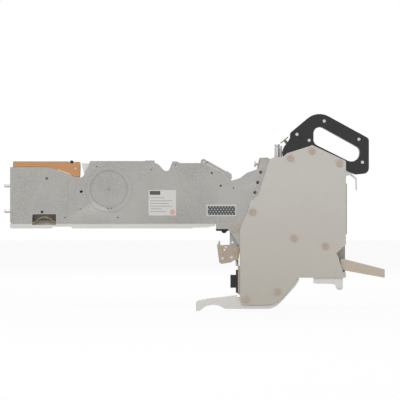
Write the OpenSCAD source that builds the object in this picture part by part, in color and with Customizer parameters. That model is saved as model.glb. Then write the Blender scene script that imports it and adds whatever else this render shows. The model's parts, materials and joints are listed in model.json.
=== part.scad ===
// Electric tape feeder for a surface-mount placement machine.
// X runs from the nose to the handle, with the pick-up point at X = 0.
// Y is the thickness, with the outer (operator's) side at -Y.  Z = 0 is the underside of the slide rail.

/* [Body] */
// Width of the long aluminium body
body_w = 20; // [20:0.5:22]
// Length of the nose ahead of the pick-up point
nose_l = 21; // [20:1:24]
// Height of the slide rail under the body
rail_h = 7; // [6:0.5:8]
// Thickness of the outer wall of the body
near_wall = 3; // [2.5:0.1:3.2]
// Thickness of the inner side plate that closes the body
side_plate_t = 1.2; // [0.8:0.1:1.6]
// Height of the rim above the rail
rim = 4; // [3.5:0.25:5]
// Thickness of the ribs between the pockets
rib_t = 4; // [3:0.5:6]
// Distance from the pick-up point to the docking face
dock_x = 301; // [299:0.5:304]

/* [Tape path] */
// Width of the carrier tape
tape_w = 12; // [11.5:0.1:12.4]
// Side clearance of the tape in its channel
tape_gap = 0.2; // [0.1:0.05:0.4]
// Height of the level channel
channel_h = 6; // [5:0.5:6.5]
// Height of the channel floor above the rail's underside
channel_z = 57; // [56:0.5:58]
// Height of the tape bed at the pick-up point
bed_z = 90; // [89.5:0.25:90.5]

/* [Tape guide] */
// Wall of the hinged tape guide's skirts
skirt_t = 1.2; // [1:0.1:1.4]
// Width of the bed between the guide's skirts
bed_w = 17; // [16.6:0.1:17.2]
// Length of the pick-up window
window_l = 10; // [8:0.5:12]
// Width of the pick-up window
window_w = 10; // [8:0.5:11]
// Radius of the guide's hinge pin
guide_pin_r = 1.2; // [1:0.1:1.5]
// Radius of the press roller in the guide
guide_roller_r = 2.4; // [2:0.1:2.6]

/* [Feed drive] */
// Teeth of the tape sprocket
sprocket_teeth = 32; // [32]
// Hole pitch of the tape
tape_pitch = 4; // [4]
// Thickness of the sprocket
sprocket_t = 1; // [0.8:0.1:1.4]
// Module of the feed gears
feed_module = 0.8; // [0.78:0.01:0.81]
// Teeth of the sprocket's gear
sprocket_gear_teeth = 40; // [40]
// Teeth of each idler
idler_teeth = 28; // [28]
// Teeth of the motor pinion
pinion_teeth = 12; // [12]
// Face width of the feed gears
gear_w = 4; // [3:0.25:4.25]
// Radius of the sprocket shaft
shaft_r = 2.5; // [2:0.1:3]
// Radius of the idler pins
idler_pin_r = 1.5; // [1.2:0.1:2]
// Radial clearance of a turning fit
run_fit = 0.05; // [0.03:0.01:0.09]
// Radius of the feed motor's case
motor_r = 16; // [14:0.5:17]

/* [Cover tape take-up] */
// Module of the take-up rollers' teeth
takeup_module = 0.625; // [0.6:0.005:0.64]
// Teeth of each take-up roller
roller_teeth = 16; // [16]
// Teeth of the take-up motor's pinion
takeup_pinion_teeth = 24; // [24]
// Length of the take-up rollers
roller_w = 13; // [10:0.5:13.5]
// Radius of the take-up rollers' axles
axle_r = 1.2; // [1:0.1:1.5]
// Radius of the take-up motor's case
takeup_motor_r = 6.5; // [6:0.1:6.7]
// Wall of the hinged lid
lid_wall = 1.2; // [1:0.1:1.5]
// Radius of the lid's hinge ears
lid_ear_r = 4.2; // [4:0.1:4.4]
// Radius of the lid's hinge pin
lid_pin_r = 1.5; // [1.2:0.1:1.8]

/* [Rear box] */
// Length of the rear box
box_l = 148.4; // [147:0.2:150]
// Depth of the box's foot below the rail's underside
foot_depth = 107; // [106:0.5:108]
// Depth of the box's rear part below the rail's underside
rear_depth = 69; // [68:0.5:70]
// Thickness of the sheet covers
cover_t = 1.2; // [0.8:0.1:1.6]
// Inset of the box's rim from the edge of its covers
rim_inset = 0.8; // [0.6:0.1:1]
// Wall of the box's rim
rim_t = 2.6; // [2:0.1:3]
// Radius of the cover screws' heads
screw_head_r = 4.6; // [4:0.1:5]
// Height of the cover screws' heads
screw_head_h = 1.6; // [1:0.1:2]
// Radius of the cover screws' threads
screw_r = 2; // [1.5:0.1:2.2]
// Radius of the spacer posts between the covers
post_r = 3.6; // [3:0.1:4]

/* [Handle] */
// Width of the handle
handle_w = 20; // [18:0.5:20]
// Depth of the screw recesses in the handle
recess_d = 1.2; // [0.8:0.1:2]
// Radius of the handle screws' heads
handle_head_r = 2.2; // [2:0.1:2.6]
// Radius of the handle screws' recesses
recess_r = 3.4; // [3:0.1:4]

/* [Release] */
// Radius of the clamp's pivot pin
clamp_pin_r = 2.5; // [2:0.1:3]
// Sheet thickness of the clamp
clamp_t = 1.2; // [1:0.1:1.5]
// Outer width of the clamp
clamp_w = 11; // [10:0.5:12]
// Radius of the lever's pin
lever_pin_r = 1.4; // [1.2:0.1:1.6]
// Sheet thickness of the lever
lever_t = 1.6; // [1.2:0.1:2]
// Thickness of the link bar
link_t = 1.2; // [0.8:0.1:1.4]

/* [Docking] */
// Radius of the nose locating pins
locating_r = 2.5; // [2:0.1:3]
// Length of the nose locating pins
locating_l = 9; // [6:0.5:12]
// Height of the lower locating pin
locating_low = 24; // [22:1:28]
// Distance between the locating pins
locating_pitch = 36; // [32:1:40]

/* [Hidden] */
$fn = 48;
arc_step = 12;
e = 0.01;

y_near = -body_w / 2;
y_far = body_w / 2;
y_plate = y_far - side_plate_t;
y_wall = y_near + near_wall;
tape_half = tape_w / 2 + tape_gap;
body_h = 87.5;
body_top = rail_h + body_h;
box_rear = dock_x + box_l;

// Points along a round corner at b, between the sides to a and c
function unit(v) = v / norm(v);
function corner(a, b, c, r) =
  let (u = unit(a - b), v = unit(c - b), half = acos(u * v) / 2)
  let (m = b + unit(u + v) * r / sin(half), p = b + u * r / tan(half) - m, q = b + v * r / tan(half) - m)
  let (a0 = atan2(p.y, p.x), turn = (atan2(q.y, q.x) - a0 + 540) % 360 - 180)
  let (steps = max(2, ceil(abs(turn) / arc_step)))
  [for (i = [0:steps]) m + r * [cos(a0 + turn * i / steps), sin(a0 + turn * i / steps)]];
function flat(p) = [p.x, p.y];
// Outline through [x, z, radius] corners
function rounded(pts) = [
  for (i = [0:len(pts) - 1])
    let (n = len(pts), b = pts[i], r = len(b) > 2 ? b[2] : 0)
    each (r == 0 ? [flat(b)] : corner(flat(pts[(i + n - 1) % n]), flat(b), flat(pts[(i + 1) % n]), r))
];
function along(p, angle, d) = p + d * [cos(angle), sin(angle)];

// A flat outline in the XZ plane, standing from y0 to y1
module slab(y0, y1) {
  translate([0, y1, 0]) rotate([90, 0, 0]) linear_extrude(y1 - y0) children();
}
// A round bar along Y
module bar(p, r, y0, y1) {
  translate([p.x, y1, p.y]) rotate([90, 0, 0]) cylinder(h = y1 - y0, r = r);
}
module disc(p, r) {
  translate(p) circle(r);
}

// ---- Gears: involute teeth with a 20 degree pressure angle ----
pressure = 20;
backlash = 0.06;
function base_r(m, z) = m * z * cos(pressure) / 2;
function involute(rb, r) = let (a = acos(min(1, rb / r))) tan(a) * 180 / PI - a;
// Half the angle of a tooth at radius r
function half_tooth(m, z, r) =
  90 / z - backlash / m / z * 90 + involute(base_r(m, z), m * z / 2) - involute(base_r(m, z), max(r, base_r(m, z)));
function gear_points(m, z, turn) =
  let (root = m * z / 2 - 1.2 * m, tip = m * z / 2 + 0.95 * m, foot = max(root, base_r(m, z)))
  let (steps = [0, 0.35, 0.7, 1])
  [for (k = [0:z - 1])
    let (a = turn + k * 360 / z)
    each concat(
      [along([0, 0], a - half_tooth(m, z, foot), root)],
      [for (s = steps) let (r = foot + (tip - foot) * s) along([0, 0], a - half_tooth(m, z, r), r)],
      [for (s = steps) let (r = tip - (tip - foot) * s) along([0, 0], a + half_tooth(m, z, r), r)],
      [along([0, 0], a + half_tooth(m, z, foot), root)]
    )
  ];
// The turn that puts gear b in mesh with gear a, which lies in direction dir from a
function mesh_turn(a_turn, a_teeth, b_teeth, dir) =
  dir + 180 - (0.5 - (dir - a_turn) * a_teeth / 360) * 360 / b_teeth;
module gear(p, m, z, turn, y0, y1) {
  slab(y0, y1) translate(p) polygon(gear_points(m, z, turn));
}

// ---- Places in the feed drive ----
sprocket_r = sprocket_teeth * tape_pitch / PI / 2;
tape_t = 0.5;
sprocket_at = [4, bed_z + tape_t - sprocket_r];
idler1_dir = -62;
idler2_dir = -35;
motor_dir = 20;
gear_step1 = feed_module * (sprocket_gear_teeth + idler_teeth) / 2;
gear_step2 = feed_module * idler_teeth;
gear_step3 = feed_module * (idler_teeth + pinion_teeth) / 2;
idler1_at = along(sprocket_at, idler1_dir, gear_step1);
idler2_at = along(idler1_at, idler2_dir, gear_step2);
motor_at = along(idler2_at, motor_dir, gear_step3);
idler1_turn = mesh_turn(0, sprocket_gear_teeth, idler_teeth, idler1_dir);
idler2_turn = mesh_turn(idler1_turn, idler_teeth, idler_teeth, idler2_dir);
pinion_turn = mesh_turn(idler2_turn, idler_teeth, pinion_teeth, motor_dir);
gear_y0 = y_plate - 1.2 - gear_w;
gear_y1 = gear_y0 + gear_w;
sprocket_y = -tape_w / 2 + 1.75;
motor_y1 = gear_y0 - 1;
gear_clear = 1;

// ---- Places in the take-up ----
lid_pivot = [250, body_top - 1.4];
roller_step = takeup_module * roller_teeth;
roller_dir = 45;
roller_at = [255, 72];
pinch_at = along(roller_at, roller_dir, roller_step);
takeup_motor_at = roller_at - [takeup_module * (roller_teeth + takeup_pinion_teeth) / 2, 0];
pinch_turn = mesh_turn(0, roller_teeth, roller_teeth, roller_dir);
takeup_pinion_turn = mesh_turn(0, roller_teeth, takeup_pinion_teeth, 180);

// ---- Outlines of the body ----
skirt_z = body_top - 8.5;
guide_pivot = [70.5, body_top - 10.5];
ear_r = 3.2;
dock_step = -0.7;
frame_outline = rounded([
  [-nose_l, rail_h, 3], [-nose_l, body_top - 3, 3], [-nose_l + 6, body_top, 3], [91, body_top, 0], [181, body_top, 0],
  [182, body_top - 2.6, 0.5], [187, body_top - 4.6, 3], [194.5, body_top - 13, 4], [197.8, body_top - 14.2, 2],
  [201.6, body_top - 13, 2.5], [206.4, body_top - 0.4, 2.5], [212.8, body_top - 0.5, 3], [217, body_top - 2.8, 2],
  [254.5, body_top - 2.8, 1], [255.4, body_top - 4.8, 0.5], [284, body_top - 21.1, 2], [289.5, body_top - 27.5, 2],
  [301, body_top - 23.8, 8], [311, body_top - 16.4, 3], [325.2, body_top - 11.4, 2], [327, body_top - 9.8, 0.8],
  [329.4, body_top + 3, 1], [344, body_top + 3.6, 2], [337, 52, 6], [322, 30, 6], [314, -6, 5],
  [dock_x + 0.4, -26, 0.5], [298.6, -22, 0], [294.7, -14.9, 6], [288.6, -6.4, 4], [284.9, -2.8, 0.5],
  [284.9, dock_step, 0], [267.4, dock_step, 0.5], [267.4, rail_h, 0]
]);
// What the tape guide's skirts need free at each side of the bed
guide_recess = rounded([
  [-nose_l - 2, skirt_z, 0], [34, skirt_z, 20], [60, skirt_z - 9, 4], [70, skirt_z - 14.2, 5],
  [78.5, skirt_z - 14.8, 3], [82, skirt_z - 12, 3], [91, body_top - 2.8, 2], [97, body_top + e, 0],
  [97, body_top + 9, 0], [-nose_l - 2, body_top + 9, 0]
]);
// The bed, the ramp and the mouth of the level channel, seen from the side
ramp_foot = [95, channel_z];
ramp_top = [30, bed_z];
bed_space = rounded([
  [-nose_l - 2, bed_z - 9, 0], [-nose_l + 3, bed_z - 4, 4], [-nose_l + 8, bed_z, 8], [ramp_top.x, bed_z, 20],
  [ramp_foot.x, channel_z, 20], [120, channel_z, 0], [120, channel_z + channel_h, 0],
  [100, channel_z + channel_h, 12], [89, channel_z + 16, 4], [91, body_top + 9, 0], [-nose_l - 2, body_top + 9, 0]
]);
round_recess_at = [117.2, rail_h + 48.3];
wall_holes = [
  [30.4, 70, 2.1], [78.7, 51.8, 2.1], [23.8, 23.1, 2.1], [56, 15.4, 1], [130, 15.4, 1], [100.1, 86.8, 1],
  [176.4, 82.6, 0.9], [210.7, 88.9, 0.9], [261.4, 77.7, 1.4], [274, 59.8, 1.4], [291.8, 56.7, 1], [274, 10.5, 0.8],
  [279.3, 10.5, 0.8], [116.2, 28, 0.8], [120.4, 28, 0.8], [77.7, 27.3, 0.8]
];
dock_holes = [[330, 78.8], [325.8, 64.5], [321.9, 50.4]];
dock_hole_r = 2.4;
foot_screw = [294, dock_step];
tail_screw = [318.5, 23.1];
pocket_floor = rail_h + rim;
pocket_roof = channel_z - 4;
pocket_ends = [[-14, 88], [92, 148], [152, 208], [212, 262]];
module pocket(x0, x1) {
  polygon(rounded([[x0, pocket_floor, 4], [x1, pocket_floor, 4], [x1, pocket_roof, 4], [x0, pocket_roof, 4]]));
}
module drive_pocket() {
  disc(sprocket_at, feed_module * (sprocket_gear_teeth / 2 + 1) + gear_clear);
  disc(idler1_at, feed_module * (idler_teeth / 2 + 1) + gear_clear);
  disc(idler2_at, feed_module * (idler_teeth / 2 + 1) + gear_clear);
  disc(motor_at, motor_r + gear_clear);
}
module takeup_pocket() {
  disc(roller_at, roller_step / 2 + 1.6);
  disc(pinch_at, roller_step / 2 + 1.6);
  disc(takeup_motor_at, takeup_motor_r + 2.4);
}
contact_depth = 4;
contact_cut = rounded([[10, rail_h - 2, 0], [43.4, rail_h - 2, 0], [43.4, 20, 1], [10, 20, 3]]);
module main_frame() {
  color([0.66, 0.65, 0.63]) difference() {
    union() {
      slab(y_near, y_plate) polygon(frame_outline);
      bar(lid_pivot, lid_ear_r, y_near, y_plate);
      slab(-clamp_w / 2 + clamp_t + 0.4, clamp_w / 2 - clamp_t - 0.4) polygon(lug_outline);
    }
    slab(y_near - 1, -bed_w / 2) polygon(guide_recess);
    slab(bed_w / 2, y_far) polygon(guide_recess);
    slab(-tape_half, tape_half) polygon(bed_space);
    slab(-bed_w / 2 - e, bed_w / 2 + e) difference() {
      polygon(bed_space);
      disc(guide_pivot, ear_r);
      polygon([guide_pivot - [ear_r, 0], guide_pivot + [ear_r, 0], [80, channel_z], [58, channel_z]]);
    }
    bar(guide_pivot, guide_pin_r, -body_w, body_w);
    slab(-tape_half, y_far) translate([119, channel_z]) square([240, channel_h]);
    for (ends = pocket_ends) slab(y_wall, y_far) pocket(ends[0], ends[1]);
    slab(y_wall, y_far) drive_pocket();
    slab(-roller_w / 2 - 0.6, y_far) takeup_pocket();
    slab(sprocket_y - sprocket_t, sprocket_y + sprocket_t) disc(sprocket_at, sprocket_r + 2.6);
    slab(y_near - 1, y_near + 0.6) disc(round_recess_at, 26.6);
    for (h = wall_holes) bar([h.x, h.y], h[2], y_near - 1, y_wall + 1);
    for (h = dock_holes) bar(h, dock_hole_r, y_near - 1, y_near + 8);
    bar(foot_screw, screw_r, y_near - 1, y_near + 10);
    bar(tail_screw, screw_r, y_near - 1, y_far);
    translate([320, 0, feed_button_z]) rotate([0, 90, 0]) cylinder(h = 14, r = stem_r + run_fit);
    bar([sprocket_at.x, sprocket_at.y], shaft_r + run_fit, y_near + 1, y_far);
    for (p = [roller_at, pinch_at]) bar(p, axle_r + run_fit, y_near + 1, y_far);
    slab(y_near - 1, contact_depth) polygon(contact_cut);
    for (z = locating_heights) pin_hole(z);
    slab(-lid_knuckle / 2 - 0.3, lid_knuckle / 2 + 0.3) disc(lid_pivot, lid_ear_r + 0.5);
    slab(-lid_knuckle / 2 - 0.3, lid_knuckle / 2 + 0.3) translate(lid_pivot - [0, 2.8]) square([12, 8]);
    bar(lid_pivot, lid_pin_r, y_near - 1, y_far);
    bar(clamp_at, clamp_pin_r, -clamp_w, clamp_w);
    bar([290.5, -19.6], 1.2, -clamp_w, clamp_w);
    for (p = plate_screws) bar(p, plate_screw_r, y_plate - 5, y_far);
  }
}

// ---- Side plate ----
plate_screws = [[-10, 20], [90, 20], [150, 20], [210, 20], [264, 50], [150, 70], [222, 70], [306, 60], [100, 75], [296, 14]];
plate_screw_r = 1.25;
module side_plate() {
  color([0.70, 0.69, 0.67]) difference() {
    slab(y_plate, y_far) polygon(frame_outline);
    slab(y_plate - 1, y_far + 1) polygon(guide_recess);
    bar(lid_pivot, lid_ear_r + 0.6, y_plate - 1, y_far + 1);
    bar(tail_screw, screw_r, y_plate - 1, y_far + 1);
    for (p = plate_screws) bar(p, plate_screw_r, y_plate - 1, y_far + 1);
    bar(sprocket_at, shaft_r + run_fit, y_plate - 1, y_far + 1);
    for (p = [roller_at, pinch_at]) bar(p, axle_r + run_fit, y_plate - 1, y_far + 1);
    for (p = [idler1_at, idler2_at]) bar(p, idler_pin_r, y_plate - 1, y_far + 1);
  }
}
module side_plate_screws() {
  color([0.55, 0.54, 0.52]) for (p = plate_screws) difference() {
    union() {
      bar(p, plate_screw_r, y_plate - 4, y_far + e);
      bar(p, plate_screw_r * 2, y_far, y_far + 0.8);
    }
    slab(y_far + 0.4, y_far + 1) disc(p, 0.9, $fn = 6);
  }
}

// ---- Rail, pins and contact ----
rail_front = -nose_l;
rail_outline = rounded([
  [rail_front, rail_h, 0], [rail_front, 0, 2], [36, 0, 1], [38.6, 2.4, 1], [64, 2.4, 1], [66.6, 0, 1], [233.8, 0, 1],
  [236, 1, 1], [256, 1.4, 2], [266, 3.5, 1], [267, rail_h, 0]
]);
rail_w = body_w - 2;
module bottom_rail() {
  color([0.84, 0.83, 0.80]) difference() {
    slab(-rail_w / 2, rail_w / 2) polygon(rail_outline);
    slab(-rail_w, contact_depth) polygon(contact_cut);
  }
}
locating_heights = [locating_low, locating_low + locating_pitch];
shank_l = 5;
module pin_hole(z) {
  translate([-nose_l - 1, 0, z]) rotate([0, 90, 0]) cylinder(h = 1 + shank_l, r = locating_r - 0.5);
}
module locating_pins() {
  color([0.75, 0.75, 0.76]) for (z = locating_heights) translate([-nose_l, 0, z]) rotate([0, -90, 0]) union() {
    translate([0, 0, -shank_l]) cylinder(h = shank_l + 1, r = locating_r - 0.5);
    cylinder(h = locating_l - 1.5, r = locating_r);
    translate([0, 0, locating_l - 1.5]) cylinder(h = 1.5, r1 = locating_r, r2 = locating_r - 1.2);
  }
}
module earth_spring() {
  color([0.72, 0.50, 0.40]) slab(-8, contact_depth - 1) polygon(concat(
    [for (i = [0:8]) [13 + 28 * i / 8, 8 + 8 * sin(180 * i / 8)]],
    [for (i = [8:-1:0]) [13 + 28 * i / 8, 8.6 + 8 * sin(180 * i / 8)]],
    [[10, 8.6], [10, 8]]
  ));
}

// ---- Hinged tape guide over the pick-up point ----
guide_gap = 0.6;
guide_front = -nose_l + 4;
guide_floor = bed_z + 1.2;
guide_top = body_top - 0.4;
guide_half = bed_w / 2 + 0.15 + skirt_t;
guide_roller_at = [65.1, guide_top - 1];
guide_outline = rounded([
  [guide_front, skirt_z + guide_gap, 1], [34, skirt_z + guide_gap, 20], [60, skirt_z - 9 + guide_gap, 4],
  [70.5, skirt_z - 13.4, 5], [76.6, skirt_z - 12.6, 1.5], [77, guide_top - 0.6, 1],
  [69.5, guide_top - 0.6, 1], [68, guide_top - 3, 1], [62.5, guide_top - 3, 1], [61, guide_top, 1],
  [guide_front, guide_top, 1.5]
]);
guide_inside = rounded([
  [guide_front - 1, skirt_z - 30, 0], [90, skirt_z - 30, 0], [90, guide_floor - 3.2, 0],
  [40, guide_floor - 0.6, 30], [14, guide_floor, 20], [guide_front - 1, guide_floor, 0]
]);
module tape_guide() {
  color([0.80, 0.55, 0.32]) difference() {
    slab(-guide_half, guide_half) polygon(guide_outline);
    slab(-guide_half + skirt_t, guide_half - skirt_t) polygon(guide_inside);
    translate([-window_l / 2, -window_w / 2 + 1, guide_floor - 1]) cube([window_l, window_w, 9]);
    slab(sprocket_y - sprocket_t, sprocket_y + sprocket_t) disc(sprocket_at, sprocket_r + 2.4);
    bar(guide_pivot, guide_pin_r + run_fit, -body_w, body_w);
    slab(-guide_half + 2, guide_half - 2) disc(guide_roller_at, guide_roller_r + 0.5);
    bar(guide_roller_at, 0.8, -guide_half + 0.6, guide_half - 0.6);
  }
}
module guide_hinge_pin() {
  color([0.7, 0.7, 0.7]) bar(guide_pivot, guide_pin_r, -guide_half + 0.1, guide_half - 0.1);
}
module guide_roller() {
  color([0.08, 0.08, 0.08]) union() {
    bar(guide_roller_at, guide_roller_r, -guide_half + 2.2, guide_half - 2.2);
    bar(guide_roller_at, 0.8, -guide_half + 0.6, guide_half - 0.6);
  }
}
// Clear cheeks that close the recess behind the guide, between its skirts
module clear_stop() {
  color([0.86, 0.83, 0.80]) for (y = [-bed_w / 2, bed_w / 2 - 1]) slab(y, y + 1) intersection() {
    polygon(rounded([[83, skirt_z - 12, 1], [94, skirt_z - 12, 1], [94, skirt_z + 5.4, 1], [79, skirt_z + 5.4, 1]]));
    polygon(bed_space);
  }
}

// ---- Feed drive ----
sprocket_tooth = 1.5;
module sprocket() {
  color([0.72, 0.72, 0.74]) difference() {
    slab(sprocket_y - sprocket_t / 2, sprocket_y + sprocket_t / 2) translate(sprocket_at) polygon(
      [for (k = [0:sprocket_teeth - 1]) let (a = 90 + k * 360 / sprocket_teeth, r0 = sprocket_r - 0.6)
        each [along([0, 0], a - 3.4, r0), along([0, 0], a - 1.9, r0), along([0, 0], a - 1.6, r0 + 0.9),
          along([0, 0], a - 0.7, r0 + sprocket_tooth), along([0, 0], a + 0.7, r0 + sprocket_tooth),
          along([0, 0], a + 1.6, r0 + 0.9), along([0, 0], a + 1.9, r0), along([0, 0], a + 3.4, r0)]]);
    bar(sprocket_at, shaft_r, y_near, y_far);
    for (k = [0:5]) bar(along(sprocket_at, k * 60 + 30, sprocket_r * 0.6), 3.4, y_near, y_far);
  }
}
module sprocket_gear() {
  color([0.85, 0.84, 0.80]) union() {
    difference() {
      gear(sprocket_at, feed_module, sprocket_gear_teeth, 0, gear_y0, gear_y1);
      for (k = [0:4]) bar(along(sprocket_at, k * 72, sprocket_gear_teeth * feed_module * 0.31), 3, gear_y0 - 1, gear_y1 + 1);
    }
    bar(sprocket_at, shaft_r, y_near + 1.2, y_far - 0.2);
    bar(sprocket_at, shaft_r + 2, gear_y0 - 2, gear_y0);
  }
}
module idler(p, turn) {
  color([0.88, 0.87, 0.83]) difference() {
    union() {
      gear(p, feed_module, idler_teeth, turn, gear_y0, gear_y1);
      bar(p, idler_pin_r + 1.8, gear_y0 - 0.8, gear_y1 + 0.4);
    }
    bar(p, idler_pin_r + run_fit, gear_y0 - 2, gear_y1 + 2);
  }
}
module idler_front() { idler(idler1_at, idler1_turn); }
module idler_rear() { idler(idler2_at, idler2_turn); }
module idler_pins() {
  color([0.7, 0.7, 0.7]) for (p = [idler1_at, idler2_at]) bar(p, idler_pin_r, motor_y1 + 0.1, y_far);
}
motor_shaft_r = 1;
module motor(p, r, y0, y1) {
  difference() {
    union() {
      bar(p, r, y0, y1 - 1);
      bar(p, r * 0.35, y1 - 1, y1);
    }
    bar(p, motor_shaft_r + run_fit, y1 - 6, y1 + 1);
  }
}
module feed_motor() { color([0.30, 0.30, 0.32]) motor(motor_at, motor_r, y_wall, motor_y1); }
module pinion(p, m, z, turn, shaft_y) {
  color([0.80, 0.66, 0.35]) union() {
    gear(p, m, z, turn, gear_y0, gear_y1);
    bar(p, motor_shaft_r, shaft_y, gear_y1 + 0.6);
  }
}
module motor_pinion() { pinion(motor_at, feed_module, pinion_teeth, pinion_turn, motor_y1 - 5.5); }

// ---- Cover tape take-up under the lid ----
module takeup_motor() { color([0.30, 0.30, 0.32]) motor(takeup_motor_at, takeup_motor_r, -roller_w / 2 - 0.6, motor_y1); }
module takeup_pinion() {
  pinion(takeup_motor_at, takeup_module, takeup_pinion_teeth, takeup_pinion_turn, motor_y1 - 5.5);
}
module roller(p, turn) {
  union() {
    gear(p, takeup_module, roller_teeth, turn, -roller_w / 2, roller_w / 2);
    bar(p, axle_r, y_near + 1.2, y_far - 0.2);
  }
}
module takeup_roller() { color([0.72, 0.72, 0.74]) roller(roller_at, 0); }
module pinch_roller() { color([0.12, 0.12, 0.12]) roller(pinch_at, pinch_turn); }
lid_knuckle = 10;
lid_slope = 29.6;
lid_side = rounded([
  [256.2, body_top - 4.4, 0.5], [257.2, body_top - 0.6, 1], [282, body_top - 14.6, 2], [288.6, body_top - 18.6, 4],
  [290, body_top - 23, 2], [288.6, body_top - 26.2, 0.5], [283.9, body_top - 20.6, 2]
]);
module takeup_lid() {
  color([0.68, 0.67, 0.65]) difference() {
    union() {
      slab(y_near, y_plate) polygon(lid_side);
      bar(lid_pivot, lid_ear_r - 0.2, -lid_knuckle / 2, lid_knuckle / 2);
      slab(-lid_knuckle / 2, lid_knuckle / 2) polygon([
        lid_pivot + [1, lid_ear_r - 0.6], [257.2, body_top - 0.6], [260, body_top - 4.4], lid_pivot + [3.4, -1.6]
      ]);
    }
    slab(y_near + lid_wall, y_plate - lid_wall) translate(-lid_wall * [0.5, 1.2]) polygon(rounded([
      [259.2, body_top - 10, 0], [259.2, body_top - 2.4, 0.5], [281, body_top - 14.8, 2],
      [286.6, body_top - 18.6, 3], [288.2, body_top - 40, 0], [259.2, body_top - 40, 0]
    ]));
    bar(lid_pivot, lid_pin_r + run_fit, -lid_knuckle, lid_knuckle);
  }
}
module lid_hinge_pin() { color([0.6, 0.6, 0.6]) bar(lid_pivot, lid_pin_r, y_near + 0.2, y_plate); }
// A spring clip round the lid's rear end
clip_t = 0.8;
module lid_clip() {
  color([0.66, 0.58, 0.48]) slab(-4, 4) intersection() {
    difference() {
      offset(delta = clip_t) polygon(lid_side);
      polygon(lid_side);
    }
    translate([282, body_top - 19.9]) square([12, 6.4]);
  }
}

// ---- Small fittings on the body ----
module top_pad() {
  color([0.06, 0.06, 0.06]) translate([168, -7, body_top]) cube([13, 14, 0.6]);
}
buffer_at = [267.4, 284.9];
module rubber_buffer() {
  color([0.07, 0.07, 0.07]) slab(-7, 7) polygon(rounded([
    [buffer_at[0], dock_step, 0], [buffer_at[0], dock_step - 2.8, 1], [buffer_at[1], dock_step - 2.8, 1],
    [buffer_at[1], dock_step, 0]
  ]));
}
module buffer_roller() {
  color([0.05, 0.05, 0.05]) difference() {
    bar([278.9, dock_step - 2], 4, -5, 5);
    translate([270, -8, dock_step - 2.8]) cube([18, 16, 10]);
  }
}

// ---- Clamp under the body ----
clamp_at = [294.2, -30.1];
lug_outline = rounded([
  [286.8, 10, 0], [286.8, -22, 3], [288.4, -33, 4], [291, -36.3, 5], [297.6, -36.3, 5], [300.4, -32, 4], [300.6, 10, 0]
]);
clamp_outline = rounded([
  [268.6, -21.6, 0.5], [270.8, -22.6, 0], [270.8, -17.8, 0.4], [273, -17.2, 0.4], [273.7, -23.6, 1],
  [288.2, -22.9, 3], [290.8, -24.2, 3], [296, -23.3, 4], [300.8, -26, 4], [300.8, -33, 4], [299.5, -41.3, 2],
  [298.9, -44.2, 1.5], [292.6, -44.8, 2], [288.4, -47.6, 2], [275.6, -49.8, 3], [272, -48, 2]
]);
clamp_screws = [[276.5, -42, 2.1], [289.1, -40.6, 2.1], [281.4, -26.3, 1.9]];
module clamp_bracket() {
  color([0.67, 0.61, 0.55]) difference() {
    slab(-clamp_w / 2, clamp_w / 2) polygon(clamp_outline);
    slab(-clamp_w / 2 + clamp_t, clamp_w / 2 - clamp_t) polygon([
      [277, -10], [310, -10], [310, -60], [270, -60], [270, -45.5], [277, -45.5]
    ]);
    bar(clamp_at, clamp_pin_r + run_fit, -clamp_w, clamp_w);
    for (s = clamp_screws) bar([s.x, s.y], s[2] / 2, -clamp_w, -clamp_w / 2 + clamp_t + e);
    bar([279.3, -30.1], 1.1, -clamp_w, clamp_w);
  }
}
module clamp_rivets() {
  color([0.76, 0.73, 0.68]) for (s = clamp_screws) union() {
    bar([s.x, s.y], s[2] / 2, -clamp_w / 2, -clamp_w / 2 + clamp_t);
    bar([s.x, s.y], s[2], -clamp_w / 2 - 0.7, -clamp_w / 2);
  }
}
module clamp_pin() {
  color([0.62, 0.58, 0.52]) union() {
    bar(clamp_at, clamp_pin_r, -clamp_w / 2 - 0.2, clamp_w / 2 + 0.2);
    bar(clamp_at, clamp_pin_r + 1.4, -clamp_w / 2 - 1.4, -clamp_w / 2 - 0.2);
    bar(clamp_at, clamp_pin_r + 1.4, clamp_w / 2 + 0.2, clamp_w / 2 + 1.4);
  }
}
module clamp_spring() {
  color([0.45, 0.43, 0.40]) for (i = [0:7]) translate([rim_face - 4.8, 0, -52 + i]) rotate_extrude()
    translate([1.6, 0]) circle(0.5, $fn = 16);
}

// ---- Rear box ----
box_rise = 22.4;
box_top = body_top + box_rise;
seam = [[dock_x, -4, 2], [303, 4.5, 20], [311, 21.5, 15], [315.8, 38, 8], [326.5, 47, 8], [342.4, body_top + 2.3, 1]];
roof = [[350, box_top - 16.6, 3], [361.5, box_top - 16.4, 3], [367, box_top - 11.5, 2], [398, box_top - 1.7, 4],
  [402, box_top, 2], [box_rear, box_top - 22.3, 3]];
foot = [[box_rear, -rear_depth, 2], [383, -rear_depth, 3], [352.5, -foot_depth, 30], [dock_x, -foot_depth, 6]];
inlet_notch = [[box_rear, -22, 1], [436, -35, 2], [438.4, -39, 1], [445, -60.5, 0.5], [box_rear, -62, 0.5]];
rim_face = dock_x + rim_inset;
box_outline = rounded(concat(seam, roof, foot));
module rim_shape(inset) { offset(delta = -inset) polygon(box_outline); }
module near_cover() {
  color([0.74, 0.72, 0.69]) difference() {
    slab(y_near - cover_t, y_near) polygon(rounded(concat(seam, roof, inlet_notch, foot)));
    for (p = cover_posts) bar(p, screw_r, y_near - 9, y_near + 1);
  }
}
module far_cover() {
  color([0.74, 0.72, 0.69]) difference() {
    slab(y_far, y_far + cover_t) polygon(box_outline);
    for (p = cover_posts) bar(p, screw_r, y_far - 1, y_far + 9);
  }
}
cover_posts = [tail_screw, [371.7, 98.6], [401.8, 108.6], [440.3, 91.3], [376.6, -13.3], [420.7, -24.5],
  [309.4, -98.7], [353.5, -88.2]];
side_posts = [[376.6, -13.3], [420.7, -24.5]];
inlet_gap = [-61, -22];
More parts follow.
